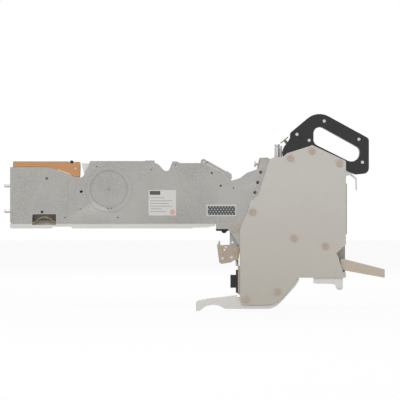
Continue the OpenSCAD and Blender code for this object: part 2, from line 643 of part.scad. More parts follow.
module box_rim() {
  color([0.62, 0.61, 0.59]) difference() {
    union() {
      slab(y_near, y_far) difference() {
        rim_shape(rim_inset);
        rim_shape(rim_inset + rim_t);
      }
      slab(y_near, y_far) intersection() {
        rim_shape(rim_inset);
        union() for (p = rim_posts) disc(p, post_r + 3);
      }
    }
    slab(y_near - 1, y_far + 1) offset(delta = 0.1) polygon(frame_outline);
    translate([box_rear - 8, y_near - 1, inlet_gap[0]]) cube([12, body_w + 2, inlet_gap[1] - inlet_gap[0]]);
    translate([box_rear - 8, arm_y[0] - 0.6, 66]) cube([12, y_far - arm_y[0], 20]);
    translate([dock_x - 4, link_y - 0.4, -52]) cube([12, link_t + 0.8, 16]);
    for (p = rim_posts) bar(p, screw_r, y_near - 1, y_far + 1);
  }
}
rim_posts = [[371.7, 98.6], [401.8, 108.6], [440.3, 91.3], [309.4, -98.7], [353.5, -88.2]];
module cover_screws() {
  color([0.72, 0.68, 0.61]) {
    for (p = cover_posts, s = [-1, 1]) cover_screw(p, s, cover_t);
    cover_screw(foot_screw, -1, 0);
  }
}
// s is -1 on the outer side of the box and 1 on its inner side
module cover_screw(p, s, proud) {
  outer = body_w / 2 + proud;
  mirror([0, s > 0 ? 1 : 0, 0]) difference() {
    union() {
      bar(p, screw_head_r, -outer - screw_head_h, -outer);
      bar(p, screw_r, -outer - e, -outer + 6);
    }
    bar(p, 1.5, -outer - screw_head_h - 1, -outer - screw_head_h + 0.9, $fn = 6);
  }
}
module spacer_posts() {
  color([0.70, 0.70, 0.70]) for (p = side_posts) difference() {
    bar(p, post_r, y_near, y_far);
    bar(p, screw_r, y_near - 1, y_far + 1);
  }
}
guide_drop = 5.7;
guide_wall = 1.6;
tongue_outline = rounded([
  [383.4, -rear_depth - 0.2, 0], [384, -rear_depth - 3, 2], [380, -rear_depth - 10.4, 6],
  [349.5, -foot_depth - guide_drop, 24], [280, -foot_depth - guide_drop, 8], [272, -108.2, 10], [263, -106.6, 10],
  [253, -109, 8], [246, -114.6, 6], [239.4, -116.2, 1.5], [239.4, -102.9, 2], [243, -100.8, 4], [260, -97.8, 20],
  [298, -93.4, 0], [330, -92, 0], [370, -rear_depth - 0.2, 0]
]);
module bottom_guide() {
  color([0.85, 0.83, 0.80]) difference() {
    slab(-rail_w / 2, rail_w / 2) polygon(tongue_outline);
    slab(-rail_w / 2 + guide_wall, rail_w / 2 - guide_wall) translate([0, -guide_wall * 1.5]) polygon(tongue_outline);
    slab(-body_w, body_w) offset(delta = 0.1) rim_shape(rim_inset);
    translate([dock_x - 4, -body_w, -97]) cube([4 + rim_inset, body_w * 2, 10]);
  }
}
module inlet_guide() {
  color([0.78, 0.77, 0.75]) slab(-rail_w / 2, rail_w / 2) polygon(rounded([
    [404.6, -rear_depth + rim_inset, 0], [404.6, -rear_depth - 8.2, 1.5], [430, -rear_depth - 8.8, 6],
    [435.6, -rear_depth - 10.6, 2], [436.4, -rear_depth - 15, 1], [445.2, -rear_depth - 15, 1],
    [445.2, -rear_depth + rim_inset, 0]
  ]));
}
module inlet_foot() {
  color([0.40, 0.38, 0.36]) slab(-rail_w / 2 + 1.5, rail_w / 2 - 1.5) polygon(rounded([
    [437.4, -rear_depth - 15, 0], [438.2, -rear_depth - 17.2, 1], [443.6, -rear_depth - 17.2, 1],
    [444.4, -rear_depth - 15, 0]
  ]));
}
chute_outline = [[442, -58.2], [442, -43], [446, -42.6], [504, -57.4], [504, -69.2], [446, -58.6]];
module inlet_chute() {
  color([0.73, 0.68, 0.61]) difference() {
    slab(-tape_half - 1, tape_half + 1) polygon(rounded([for (p = chute_outline) [p.x, p.y, 0.8]]));
    slab(-tape_half, tape_half) translate([0, 1]) polygon([
      [430, -58], [430, -20], [520, -20], [520, -72], [504, -69.2], [446, -58.6]
    ]);
  }
}
// A sheet that leads the tape from the inlet up to the level channel
function rise(t) = t * t * (3 - 2 * t);
lead_from = [338.2, channel_z - 0.1];
lead_to = [442, -58.6];
module inner_guide() {
  steps = 20;
  color([0.70, 0.70, 0.70]) slab(-tape_half, tape_half) polygon(concat(
    [for (i = [0:steps]) let (t = i / steps)
      [lead_from.x + (lead_to.x - lead_from.x) * t, lead_from.y + (lead_to.y - lead_from.y) * rise(t)]],
    [for (i = [steps:-1:0]) let (t = i / steps)
      [lead_from.x + (lead_to.x - lead_from.x) * t - 1.2 * sin(180 * t),
        lead_from.y + (lead_to.y - lead_from.y) * rise(t) - 1]]
  ));
}
module rear_plate() {
  color([0.80, 0.79, 0.77]) translate([box_rear - rim_inset, -7.5, -8]) cube([rim_inset + 1.6, 15, 71]);
}

// ---- Handle ----
handle_outline = rounded([
  [361.5, 99, 0], [360.4, 107, 5], [363, 115, 4], [368.9, 122.5, 3], [371.4, 127, 3], [371.4, 134, 4],
  [409.3, 165.8, 26], [481.6, 126.2, 6], [481.6, 77.4, 8], [464, 75.6, 8], [455, 78.6, 2], [449.7, 81.2, 1],
  [440, 80, 0], [400, 90, 0]
]);
finger_slot = rounded([[404, 148.4, 9], [469, 112.3, 9], [469, 86.5, 12], [404, 119, 9]]);
handle_points = [[419, 150.5], [380.8, 131.9], [397.9, 123.5], [467.6, 125], [472.5, 92.8]];
boss_at = [381.5, 121.2];
module handle_shape() {
  difference() {
    polygon(handle_outline);
    polygon(finger_slot);
    offset(delta = 0.1) rim_shape(rim_inset);
  }
}
module handle_half(y0, y1, recess_y, out) {
  color([0.16, 0.16, 0.16]) difference() {
    slab(y0, y1) handle_shape();
    for (p = handle_points) {
      bar(p, recess_r, min(recess_y, recess_y + out * 9), max(recess_y, recess_y + out * 9));
      bar(p, handle_screw_r, y0 - 1, y1 + 1);
    }
    slab(-lever_room / 2, lever_room / 2) polygon([[446, 60], [470, 60], [470, 85], [446, 85]]);
    translate(concat([button_root.x], 0, button_root.y)) rotate([0, 90 + button_angle, 0]) cylinder(h = 30, r = stem_r + run_fit, center = true);
  }
}
handle_screw_r = 1.2;
lever_room = 15;
module handle_near() {
  color([0.16, 0.16, 0.16]) difference() {
    handle_half(-handle_w / 2, 0, -handle_w / 2 + recess_d, -1);
    slab(-handle_w, -handle_w / 2 + 0.5) difference() {
      disc(boss_at, 6.4);
      disc(boss_at, 5);
    }
  }
}
module handle_far() { handle_half(0, handle_w / 2, handle_w / 2 - recess_d, 1); }
module handle_screws() {
  color([0.80, 0.79, 0.77]) for (p = handle_points, s = [0, 1]) mirror([0, s, 0]) difference() {
    union() {
      bar(p, handle_screw_r, -handle_w / 2 + recess_d - e, -1);
      bar(p, handle_head_r, -handle_w / 2 + 0.2, -handle_w / 2 + recess_d);
    }
    bar(p, 0.8, -handle_w, -handle_w / 2 + recess_d * 0.6, $fn = 6);
  }
}

// ---- Release lever and link ----
lever_at = [454.3, 78];
lever_w = 9;
arm_y = [0.8, 4];
link_y = y_far - link_t - 0.3;
module lever_bracket() {
  color([0.62, 0.60, 0.57]) difference() {
    union() {
      translate([box_rear - rim_inset, -lever_room / 2 + 0.3, 70]) cube([1.2, lever_room - 0.6, 14]);
      for (y = [-lever_room / 2 + 0.3, lever_room / 2 - 1.5]) slab(y, y + 1.2) polygon(rounded([
        [box_rear - rim_inset, 84, 0], [box_rear - rim_inset, 73.8, 0], [456, 74.4, 3], [459.2, 77, 2], [459.2, 81.6, 2],
        [453, 84, 1]
      ]));
    }
    bar(lever_at, lever_pin_r, -body_w, body_w);
    translate([box_rear - 4, arm_y[0] - 0.6, 66]) cube([6, 4.4, 20]);
  }
}
module lever_pin() { color([0.75, 0.74, 0.72]) bar(lever_at, lever_pin_r, -lever_room / 2 + 0.1, lever_room / 2 - 0.1); }
lever_arm = [[0, 2.6], [-11.5, 1.6], [-11.5, -1.6], [0, -2.6]];
module release_lever() {
  color([0.68, 0.67, 0.64]) difference() {
    union() {
      bar(lever_at, 3, -lever_w / 2, lever_w / 2);
      slab(-lever_w / 2, lever_w / 2) polygon([
        [455.6, 75], [463.2, 68.6], [463.7, 53.2], [463.7 + lever_t, 53.2], [463.3 + lever_t, 70.6], [457.2, 76.8]
      ]);
      slab(arm_y[0], arm_y[1]) polygon([for (p = lever_arm) lever_at + p]);
    }
    bar(lever_at, lever_pin_r + run_fit, -body_w, body_w);
  }
}
link_from = lever_at + [-9.5, -4];
link_to = [303.6, -43];
link_dir = atan2(link_to.y - link_from.y, link_to.x - link_from.x);
module link_bar() {
  color([0.60, 0.60, 0.60]) slab(link_y, link_y + link_t) difference() {
    polygon(rounded([for (side = [-1, 1], end = (side < 0 ? [0, 1] : [1, 0]))
      let (p = end == 0 ? link_from : link_to, q = along(p, link_dir + 90 * side, 3.5)) [q.x, q.y, 3]]));
    disc(link_from, 1.2);
    disc(link_to, 1.2);
  }
}

// ---- Top fittings ----
module panel_bracket() {
  color([0.70, 0.64, 0.56]) difference() {
    slab(-8, 8) difference() {
      polygon([
        [324.8, body_top - 10.1], [328.4, body_top + 4.4], [341, body_top + 5.1], [341, body_top + 2.5],
        [331, body_top + 2.5], [328, body_top - 11.9]
      ]);
      polygon(frame_outline);
    }
    translate([320, 0, feed_button_z]) rotate([0, 90, 0]) cylinder(h = 14, r = stem_r + run_fit);
  }
}
stem_r = 2;
cap_t = 1.8;
module button(cap_r, stem_l) {
  rotate_extrude() polygon(rounded([
    [0, 0, 0], [cap_r, 0, 0.5], [cap_r, cap_t, 0.5], [stem_r, cap_t, 0], [stem_r, cap_t + stem_l, 0], [0, cap_t + stem_l, 0]
  ]));
}
feed_button_x = 321.2;
feed_button_z = 90.6;
module feed_button() {
  color([0.72, 0.70, 0.66]) translate([feed_button_x, 0, feed_button_z]) rotate([0, 90, 0]) button(4.6, 8);
}
button_angle = 51;
button_root = [362.8, 124.8];
module top_button() {
  color([0.68, 0.63, 0.55]) translate([button_root.x, 0, button_root.y]) rotate([0, 90 + button_angle, 0]) button(6.9, 9);
}
post_foot = box_top - 17.2;
module signal_post() {
  color([0.64, 0.61, 0.57]) translate([353.3, 0, post_foot]) rotate_extrude() polygon(rounded([
    [0, 0, 0], [3.7, 0, 0], [3.7, 13.5, 0.4], [3.2, 14.2, 0.3], [3.2, 15.2, 0.3], [3.7, 16, 0.3], [3.7, 18.6, 0.8], [0, 18.6, 0]
  ]));
}
module post_sleeve() {
  color([0.82, 0.80, 0.76]) translate([358.8, 0, post_foot]) cylinder(h = 16, r = 1.5);
}

// ---- Docking connector and control board ----
plug_z = [-83.2, -65.1];
flange_z = [-90.3, -58.1];
module connector_plate() {
  color([0.66, 0.62, 0.56]) difference() {
    translate([dock_x - 2.8, -9, -92.4]) cube([2.8 + rim_inset, 18, 39.9]);
    translate([dock_x - 5, -5, plug_z[0]]) cube([9, 10, plug_z[1] - plug_z[0]]);
  }
}
module connector_housing() {
  color([0.10, 0.10, 0.11]) difference() {
    union() {
      translate([dock_x - 5.6, -8, flange_z[0]]) cube([2.8, 16, flange_z[1] - flange_z[0]]);
      translate([dock_x - 13.3, -6, plug_z[0]]) cube([7.8, 12, plug_z[1] - plug_z[0]]);
    }
    translate([dock_x - 14, -4.6, plug_z[0] + 1.4]) cube([7, 9.2, plug_z[1] - plug_z[0] - 2.8]);
    for (z = flange_z) translate([dock_x - 6, 0, z + (z < plug_z[0] ? 3.2 : -3.2)]) rotate([0, 90, 0]) cylinder(h = 4, r = 1.6);
  }
}
contact_pitch = 2;
module connector_contacts() {
  color([0.83, 0.68, 0.35]) for (i = [0:6], y = [-2, 2])
    translate([dock_x - 12.4, y - 0.4, plug_z[0] + 2.6 + i * contact_pitch]) cube([5.4, 0.8, 0.8]);
}
board_at = [307, -92];
board_size = [38, 44];
board_y = y_near + 2;
module control_board() {
  color([0.10, 0.35, 0.20]) union() {
    translate([board_at.x, board_y, board_at.y]) cube([board_size.x, 1.6, board_size.y]);
    translate([board_at.x + 12, board_y + 1.6, board_at.y + 16]) cube([12, 1.6, 12]);
    translate([board_at.x + 4, board_y + 1.6, board_at.y + 34]) cube([30, 5, 6]);
    for (i = [0:3]) translate([board_at.x + 30, board_y + 1.6, board_at.y + 5 + i * 6]) cube([5, 1.4, 4]);
  }
}
module board_spacers() {
  color([0.75, 0.75, 0.75]) for (x = [3, board_size.x - 3], z = [3, board_size.y - 3])
    bar(board_at + [x, z], 1.6, y_near, board_y);
}

main_frame();
side_plate();
side_plate_screws();
bottom_rail();
locating_pins();
earth_spring();
tape_guide();
guide_hinge_pin();
guide_roller();
clear_stop();
sprocket();
sprocket_gear();
idler_front();
idler_rear();
idler_pins();
feed_motor();
motor_pinion();
takeup_motor();
takeup_pinion();
takeup_roller();
pinch_roller();
takeup_lid();
lid_hinge_pin();
lid_clip();
top_pad();
rubber_buffer();
buffer_roller();
clamp_bracket();
clamp_rivets();
clamp_pin();
clamp_spring();
link_bar();
release_lever();
lever_pin();
lever_bracket();
box_rim();
near_cover();
far_cover();
cover_screws();
spacer_posts();
bottom_guide();
inlet_guide();
inlet_foot();
inlet_chute();
inner_guide();
rear_plate();
handle_near();
handle_far();
handle_screws();
panel_bracket();
feed_button();
top_button();
signal_post();
post_sleeve();
connector_housing();
connector_contacts();
connector_plate();
control_board();
board_spacers();
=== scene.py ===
# Looks of an electric tape feeder for a placement machine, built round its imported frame.
# Metres throughout: X from the nose to the handle, Z up, the outer (operator's) side at -Y.
import json
import math

import bmesh
import bpy
from mathutils import Matrix, Vector


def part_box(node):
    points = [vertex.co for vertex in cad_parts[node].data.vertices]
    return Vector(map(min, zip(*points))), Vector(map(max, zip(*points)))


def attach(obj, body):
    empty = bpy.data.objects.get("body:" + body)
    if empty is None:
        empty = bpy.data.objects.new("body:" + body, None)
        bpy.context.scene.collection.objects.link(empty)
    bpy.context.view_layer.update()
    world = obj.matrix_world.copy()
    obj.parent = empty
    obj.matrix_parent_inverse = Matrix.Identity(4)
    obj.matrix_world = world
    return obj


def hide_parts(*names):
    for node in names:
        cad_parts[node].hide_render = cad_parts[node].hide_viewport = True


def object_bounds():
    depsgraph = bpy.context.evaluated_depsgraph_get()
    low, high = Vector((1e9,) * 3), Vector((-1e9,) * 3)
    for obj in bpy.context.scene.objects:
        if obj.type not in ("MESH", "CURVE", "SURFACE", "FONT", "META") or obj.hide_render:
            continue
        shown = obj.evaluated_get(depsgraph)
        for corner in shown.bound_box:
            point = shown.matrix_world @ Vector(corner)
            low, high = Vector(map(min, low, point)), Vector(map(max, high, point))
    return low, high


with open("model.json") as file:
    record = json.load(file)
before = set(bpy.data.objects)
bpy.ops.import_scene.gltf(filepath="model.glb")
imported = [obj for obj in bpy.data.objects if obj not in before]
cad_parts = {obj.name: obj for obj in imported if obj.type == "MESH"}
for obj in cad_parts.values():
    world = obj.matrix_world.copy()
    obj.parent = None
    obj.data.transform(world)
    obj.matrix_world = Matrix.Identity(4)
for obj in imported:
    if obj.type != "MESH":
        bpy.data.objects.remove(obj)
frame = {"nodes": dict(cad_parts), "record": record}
nodes = frame["nodes"]
cad_box = [list(corner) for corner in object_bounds()]

# ---------------------------------------------------------------------------------------------
# Camera, light and floor.
# The feeder is looked at square-on from its outer side through a long lens, under soft studio
# light, over a plain pale floor and in front of a plain pale backdrop.
view_width = 0.56
view_centre = (0.245, 0.0399)
camera_back = 3.4
camera = bpy.data.objects.new("camera", bpy.data.cameras.new("camera"))
camera.data.sensor_width = 36
camera.data.lens = 36 * camera_back / view_width
camera.data.clip_end = 20
camera.location = (view_centre[0], -camera_back - 0.011, view_centre[1])
camera.rotation_euler = (math.radians(90), 0, 0)
bpy.context.scene.collection.objects.link(camera)
bpy.context.scene.camera = camera
bpy.context.scene.view_settings.view_transform = "Standard"


def studio_lamp(name, place, aim, size, watts):
    data = bpy.data.lights.new(name, "AREA")
    data.shape = "DISK"
    data.size = size
    data.energy = watts
    lamp = bpy.data.objects.new(name, data)
    lamp.location = place
    lamp.rotation_euler = (Vector(aim) - Vector(place)).to_track_quat("-Z", "Y").to_euler()
    bpy.context.scene.collection.objects.link(lamp)


middle = (0.25, 0, 0.03)
studio_lamp("key_lamp", (-0.55, -1.5, 1.35), middle, 1.2, 17)
studio_lamp("fill_lamp", (1.5, -1.3, 0.5), middle, 1.6, 6.5)
studio_lamp("back_lamp", (0.2, 1.5, 1.0), middle, 1.4, 9)

world = bpy.data.worlds.new("studio")
bpy.context.scene.world = world
world.use_nodes = True


def pale_rays(tree):
    """1 for the rays that see the pale background: from the camera, and off gloss or through glass."""
    path = tree.nodes.new("ShaderNodeLightPath")
    add = tree.nodes.new("ShaderNodeMath")
    add.operation = "ADD"
    tree.links.new(path.outputs["Is Camera Ray"], add.inputs[0])
    tree.links.new(path.outputs["Is Transmission Ray"], add.inputs[1])
    more = tree.nodes.new("ShaderNodeMath")
    more.operation = "ADD"
    more.use_clamp = True
    tree.links.new(add.outputs[0], more.inputs[0])
    tree.links.new(path.outputs["Is Glossy Ray"], more.inputs[1])
    return more.outputs[0]


sky = world.node_tree.nodes["Background"]
sky_level = world.node_tree.nodes.new("ShaderNodeMapRange")
sky_on_object = 0.5
sky_seen = 1.0
sky_level.inputs["To Min"].default_value = sky_on_object
sky_level.inputs["To Max"].default_value = sky_seen
world.node_tree.links.new(pale_rays(world.node_tree), sky_level.inputs["Value"])
world.node_tree.links.new(sky_level.outputs[0], sky.inputs["Strength"])
sky.inputs["Color"].default_value = (1, 1, 1, 1)

floor_mesh = bpy.data.meshes.new("floor")
floor_mesh.from_pydata([(-6, -6, 0), (6, -6, 0), (6, 6, 0), (-6, 6, 0)], [], [(0, 1, 2, 3)])
floor_mesh.transform(Matrix.Translation((0, 0, cad_box[0][2] - 0.0005)))
floor = bpy.data.objects.new("floor", floor_mesh)
bpy.context.scene.collection.objects.link(floor)
floor_glow = 0.9
paper = bpy.data.materials.new("floor_paper")
paper.use_nodes = True
paper.node_tree.nodes["Principled BSDF"].inputs["Base Color"].default_value = (0.9, 0.9, 0.9, 1)
paper.node_tree.nodes["Principled BSDF"].inputs["Roughness"].default_value = 0.9
glow = paper.node_tree.nodes.new("ShaderNodeEmission")
blend = paper.node_tree.nodes.new("ShaderNodeMixShader")
half = paper.node_tree.nodes.new("ShaderNodeMath")
half.operation = "MULTIPLY"
half.inputs[1].default_value = floor_glow
paper.node_tree.links.new(pale_rays(paper.node_tree), half.inputs[0])
paper.node_tree.links.new(half.outputs[0], blend.inputs[0])
paper.node_tree.links.new(paper.node_tree.nodes["Principled BSDF"].outputs[0], blend.inputs[1])
paper.node_tree.links.new(glow.outputs[0], blend.inputs[2])
paper.node_tree.links.new(blend.outputs[0], paper.node_tree.nodes["Material Output"].inputs["Surface"])
floor_mesh.materials.append(paper)

# ---------------------------------------------------------------------------------------------
# Long body.
# One aluminium casting, milled on its outer face, blasted and clear anodised.  The face shows fine
# blasting grain, faint handling smears and lighter edges, partly scuffed metal and partly painted highlight.
body_of = {n: b for b, members in frame["record"]["behaviour"]["bodies"].items() for n in members}
slot_of = {s["node"]: s["material_slot"] for s in frame["record"]["subparts"]}


def effect(name, inputs, outputs):
    """An empty node group with float inputs {name: default} and outputs {name: socket type}."""
    tree = bpy.data.node_groups.new(name, "ShaderNodeTree")
    for label, value in inputs.items():
        tree.interface.new_socket(label, in_out="INPUT", socket_type="NodeSocketFloat").default_value = value
    for label, kind in outputs.items():
        tree.interface.new_socket(label, in_out="OUTPUT", socket_type=kind)
    return tree, tree.nodes.new("NodeGroupInput"), tree.nodes.new("NodeGroupOutput")


def math_node(tree, operation, first, second=None):
    node = tree.nodes.new("ShaderNodeMath")
    node.operation = operation
    for socket, value in zip(node.inputs, (first, second)):
        if hasattr(value, "is_output"):
            tree.links.new(value, socket)
        elif value is not None:
            socket.default_value = value
    return node.outputs[0]


def noise_node(tree, scale, detail, roughness=0.5, coordinates=None):
    node = tree.nodes.new("ShaderNodeTexNoise")
    node.inputs["Detail"].default_value = detail
    node.inputs["Roughness"].default_value = roughness
    place = coordinates or tree.nodes.new("ShaderNodeTexCoord").outputs["Object"]
    tree.links.new(place, node.inputs["Vector"])
    if hasattr(scale, "is_output"):
        tree.links.new(scale, node.inputs["Scale"])
    else:
        node.inputs["Scale"].default_value = scale
    return node.outputs["Fac"]


def range_node(tree, value, low, high, to_low=0.0, to_high=1.0):
    node = tree.nodes.new("ShaderNodeMapRange")
    tree.links.new(value, node.inputs["Value"])
    for label, number in (("From Min", low), ("From Max", high), ("To Min", to_low), ("To Max", to_high)):
        node.inputs[label].default_value = number
    return node.outputs[0]


# Lighter edges, partly scuffing and partly painted highlight where edges catch the light: the rounded normal turns away
# from the true one, broken up by noise.
edge_wear_and_highlight, edge_in, edge_out = effect("edge_wear_and_highlight", {"Width": 0.0006, "Amount": 0.5}, {"Mask": "NodeSocketFloat"})
rounding = edge_wear_and_highlight.nodes.new("ShaderNodeBevel")
rounding.samples = 4
edge_wear_and_highlight.links.new(edge_in.outputs["Width"], rounding.inputs["Radius"])
true_face = edge_wear_and_highlight.nodes.new("ShaderNodeNewGeometry")
turned = edge_wear_and_highlight.nodes.new("ShaderNodeVectorMath")
turned.operation = "DOT_PRODUCT"
edge_wear_and_highlight.links.new(rounding.outputs[0], turned.inputs[0])
edge_wear_and_highlight.links.new(true_face.outputs["True Normal"], turned.inputs[1])
edge_found = range_node(edge_wear_and_highlight, turned.outputs["Value"], 0.995, 0.8)
edge_broken = range_node(edge_wear_and_highlight, noise_node(edge_wear_and_highlight, 160, 4, 0.65), 0.4, 0.62)
edge_mask = math_node(edge_wear_and_highlight, "MULTIPLY", edge_found, edge_broken)
edge_wear_and_highlight.links.new(math_node(edge_wear_and_highlight, "MULTIPLY", edge_mask, edge_in.outputs["Amount"]), edge_out.inputs["Mask"])

# Fine blasting or moulding grain, as a height from 0 to 1.
fine_grain, grain_in, grain_out = effect("fine_grain", {"Scale": 1500.0}, {"Height": "NodeSocketFloat"})
grain_height = noise_node(fine_grain, grain_in.outputs["Scale"], 3, 0.6)
fine_grain.links.new(grain_height, grain_out.inputs["Height"])

# Broad smears from handling and cleaning, from 0 to 1.
smears, smears_in, smears_out = effect("smears", {"Scale": 22.0}, {"Value": "NodeSocketFloat"})
smear_broad = noise_node(smears, smears_in.outputs["Scale"], 5, 0.62)
smears.links.new(range_node(smears, smear_broad, 0.34, 0.66), smears_out.inputs["Value"])

# Dust that settles on what faces up, from 0 to 1.
dust, dust_in, dust_out = effect("dust", {"Amount": 0.3}, {"Mask": "NodeSocketFloat"})
dust_face = dust.nodes.new("ShaderNodeNewGeometry")
dust_up = dust.nodes.new("ShaderNodeSeparateXYZ")
dust.links.new(dust_face.outputs["Normal"], dust_up.inputs[0])
dust_flat = range_node(dust, dust_up.outputs["Z"], 0.3, 0.95)
dust_patchy = range_node(dust, noise_node(dust, 90, 5, 0.7), 0.35, 0.7)
dust_all = math_node(dust, "MULTIPLY", dust_flat, dust_patchy)
dust.links.new(math_node(dust, "MULTIPLY", dust_all, dust_in.outputs["Amount"]), dust_out.inputs["Mask"])


def placed(tree, group, **values):
    node = tree.nodes.new("ShaderNodeGroup")
    node.node_tree = group
    for label, value in values.items():
        node.inputs[label].default_value = value
    return node.outputs[0]


def mixed(tree, factor, first, second):
    """Blends two colours, each a plain colour or a socket."""
    node = tree.nodes.new("ShaderNodeMix")
    node.data_type = "RGBA"
    tree.links.new(factor, node.inputs[0])
    for socket, value in ((node.inputs[6], first), (node.inputs[7], second)):
        if hasattr(value, "is_output"):
            tree.links.new(value, socket)
        else:
            socket.default_value = (*value, 1)
    return node.outputs[2]


def finish_material(name, colour, shade, worn_and_lit_edge, rough, metal=0.0, wear_and_highlight=0.5, grain=1500.0, bump=0.15, smear=22.0,
                    dusty=0.15, edge=0.0006):
    """A finish from its main colour, the shade its smears take, and the colour its edges show, partly scuffing and
    partly painted highlight.
    """
    material = bpy.data.materials.new(name)
    material.use_nodes = True
    tree = material.node_tree
    shader = tree.nodes["Principled BSDF"]
    smear_value = placed(tree, smears, Scale=smear)
    grain_value = placed(tree, fine_grain, Scale=grain)
    speckle = mixed(tree, range_node(tree, grain_value, 0.42, 0.6), shade, colour)
    toned = mixed(tree, smear_value, speckle, colour)
    # Edges take the lighter edge colour: partly scuffing, partly painted highlight where edges catch the light.
    rubbed_and_lit = mixed(tree, placed(tree, edge_wear_and_highlight, Width=edge, Amount=wear_and_highlight), toned, worn_and_lit_edge)
    dusted = mixed(tree, placed(tree, dust, Amount=dusty), rubbed_and_lit, (0.62, 0.60, 0.56))
    tree.links.new(dusted, shader.inputs["Base Color"])
    shader.inputs["Metallic"].default_value = metal
    tree.links.new(range_node(tree, smear_value, 0, 1, rough + 0.06, rough - 0.05), shader.inputs["Roughness"])
    relief = tree.nodes.new("ShaderNodeBump")
    relief.inputs["Strength"].default_value = bump
    relief.inputs["Distance"].default_value = 0.0002
    tree.links.new(grain_value, relief.inputs["Height"])
    tree.links.new(relief.outputs[0], shader.inputs["Normal"])
    return material


def wear_finish(node, material):
    """Puts a finish on a CAD node in place of the frame's plain one."""
    mesh = nodes[node].data
    mesh.materials.clear()
    mesh.materials.append(material)


def bevelled(node, material, width, segments=2, angle=32):
    """A copy of a CAD node with its sharp edges broken, as milling or moulding leaves them."""
    mesh = nodes[node].data.copy()
    mesh.name = node + "_finished"
    work = bmesh.new()
    work.from_mesh(mesh)
    bmesh.ops.remove_doubles(work, verts=work.verts, dist=0.00001)
    bmesh.ops.dissolve_limit(work, angle_limit=math.radians(0.6), verts=work.verts, edges=work.edges)
    work.to_mesh(mesh)
    work.free()
    mesh.materials.clear()
    mesh.materials.append(material)
    mesh.polygons.foreach_set("use_smooth", [True] * len(mesh.polygons))
    mesh.set_sharp_from_angle(angle=math.radians(angle))
    piece = bpy.data.objects.new(node + "_finished", mesh)
    bpy.context.scene.collection.objects.link(piece)
    broken = piece.modifiers.new("broken_edges", "BEVEL")
    broken.width = width
    broken.segments = segments
    broken.limit_method = "ANGLE"
    broken.angle_limit = math.radians(angle)
    broken.use_clamp_overlap = True
    broken.harden_normals = True
    broken.miter_outer = "MITER_ARC"
    plain = bpy.data.meshes.new_from_object(piece.evaluated_get(bpy.context.evaluated_depsgraph_get()))
    piece.modifiers.clear()
    piece.data = plain
    plain.name = node + "_finished"
    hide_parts(node)
    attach(piece, body_of[node])
    return piece


cast_aluminium = finish_material(
    "cast_aluminium", (0.398, 0.386, 0.364), (0.292, 0.283, 0.267), (0.66, 0.65, 0.63), 0.46, metal=0.35, wear_and_highlight=0.7,
    grain=520, bump=0.2, smear=11
)
bevelled("main_frame", cast_aluminium, 0.0003)
bevelled("side_plate", cast_aluminium, 0.0002, 1)
bevelled("box_rim", cast_aluminium, 0.0003, 1)

# Painted shade on the milled face: thin dark marks stand for the shade in a shallow turned ring over the
# bearing of the drive, in cutter lines left by the milling, and in a small bored plug beside the rail.  Each is a hair
# proud of the face.
painted_groove_shade = finish_material(
    "groove_painted_shade", (0.318, 0.309, 0.293), (0.275, 0.267, 0.253), (0.6, 0.59, 0.57), 0.42, metal=0.4, grain=700, bump=0.1
)
face_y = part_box("main_frame")[0][1]
mark_lift = 0.00008


def face_piece(mesh, work, material, body):
    """Closes a mark's or plate's mesh and fixes it to its body."""
    bmesh.ops.recalc_face_normals(work, faces=work.faces)
    work.to_mesh(mesh)
    work.free()
    mesh.materials.append(material)
    piece = bpy.data.objects.new(mesh.name, mesh)
    bpy.context.scene.collection.objects.link(piece)
    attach(piece, body)
    return piece


def face_strip(name, corners, material, body, lift, thickness=0.00012):
    """A thin plate on the outer face, from (x, z) corners given in millimetres, anticlockwise from the front."""
    mesh = bpy.data.meshes.new(name)
    work = bmesh.new()
    near = [work.verts.new((x / 1000, face_y - lift, z / 1000)) for x, z in corners]
    far = [work.verts.new((x / 1000, face_y - lift + thickness, z / 1000)) for x, z in corners]
    work.faces.new(near)
    work.faces.new(far[::-1])
    for index in range(len(near)):
        after = (index + 1) % len(near)
        work.faces.new((near[after], near[index], far[index], far[after]))
    return face_piece(mesh, work, material, body)


def face_ring(name, centre, inner, outer, material, lift, turns=96):
    """A flat ring on the outer face, for the painted shade of a turned groove; radii and centre in millimetres."""
    mesh = bpy.data.meshes.new(name)
    work = bmesh.new()
    rows = []
    for radius, back in ((inner, 0.00012), (inner, 0), (outer, 0), (outer, 0.00012)):
        rows.append([
            work.verts.new((
                (centre[0] + radius * math.cos(math.tau * k / turns)) / 1000, face_y - lift + back,
                (centre[1] + radius * math.sin(math.tau * k / turns)) / 1000
            )) for k in range(turns)
        ])
    for first, second in zip(rows, rows[1:] + rows[:1]):
        for k in range(turns):
            after = (k + 1) % turns
            work.faces.new((first[k], first[after], second[after], second[k]))
    return face_piece(mesh, work, material, "feeder_frame")


bearing_at = (117.2, 55.3)
# Painted shade: dark rings at the turned edges and the centre of the bearing recess.
face_ring("bearing_ring", bearing_at, 25.4, 26.6, painted_groove_shade, mark_lift)
face_ring("bearing_groove", bearing_at, 32.3, 33.1, painted_groove_shade, mark_lift)
face_ring("bearing_centre", bearing_at, 0.4, 2.2, painted_groove_shade, mark_lift)
# Painted shade: dark strips along the cutter lines and the step.
line_t = 0.5
milling_lines = ((101, 175, 81.9), (221.2, 254.8, 78.4), (254.8, 289.8, 13.3))
for index, (left, right, height) in enumerate(milling_lines):
    corners = [(left, height), (right, height), (right, height + line_t), (left, height + line_t)]
    face_strip(f"milling_line_{index}", corners, painted_groove_shade, "feeder_frame", mark_lift)
face_strip("milling_step", [(59.6, 9), (60.3, 9), (60.3, 68), (59.6, 68)], painted_groove_shade, "feeder_frame",
           mark_lift)

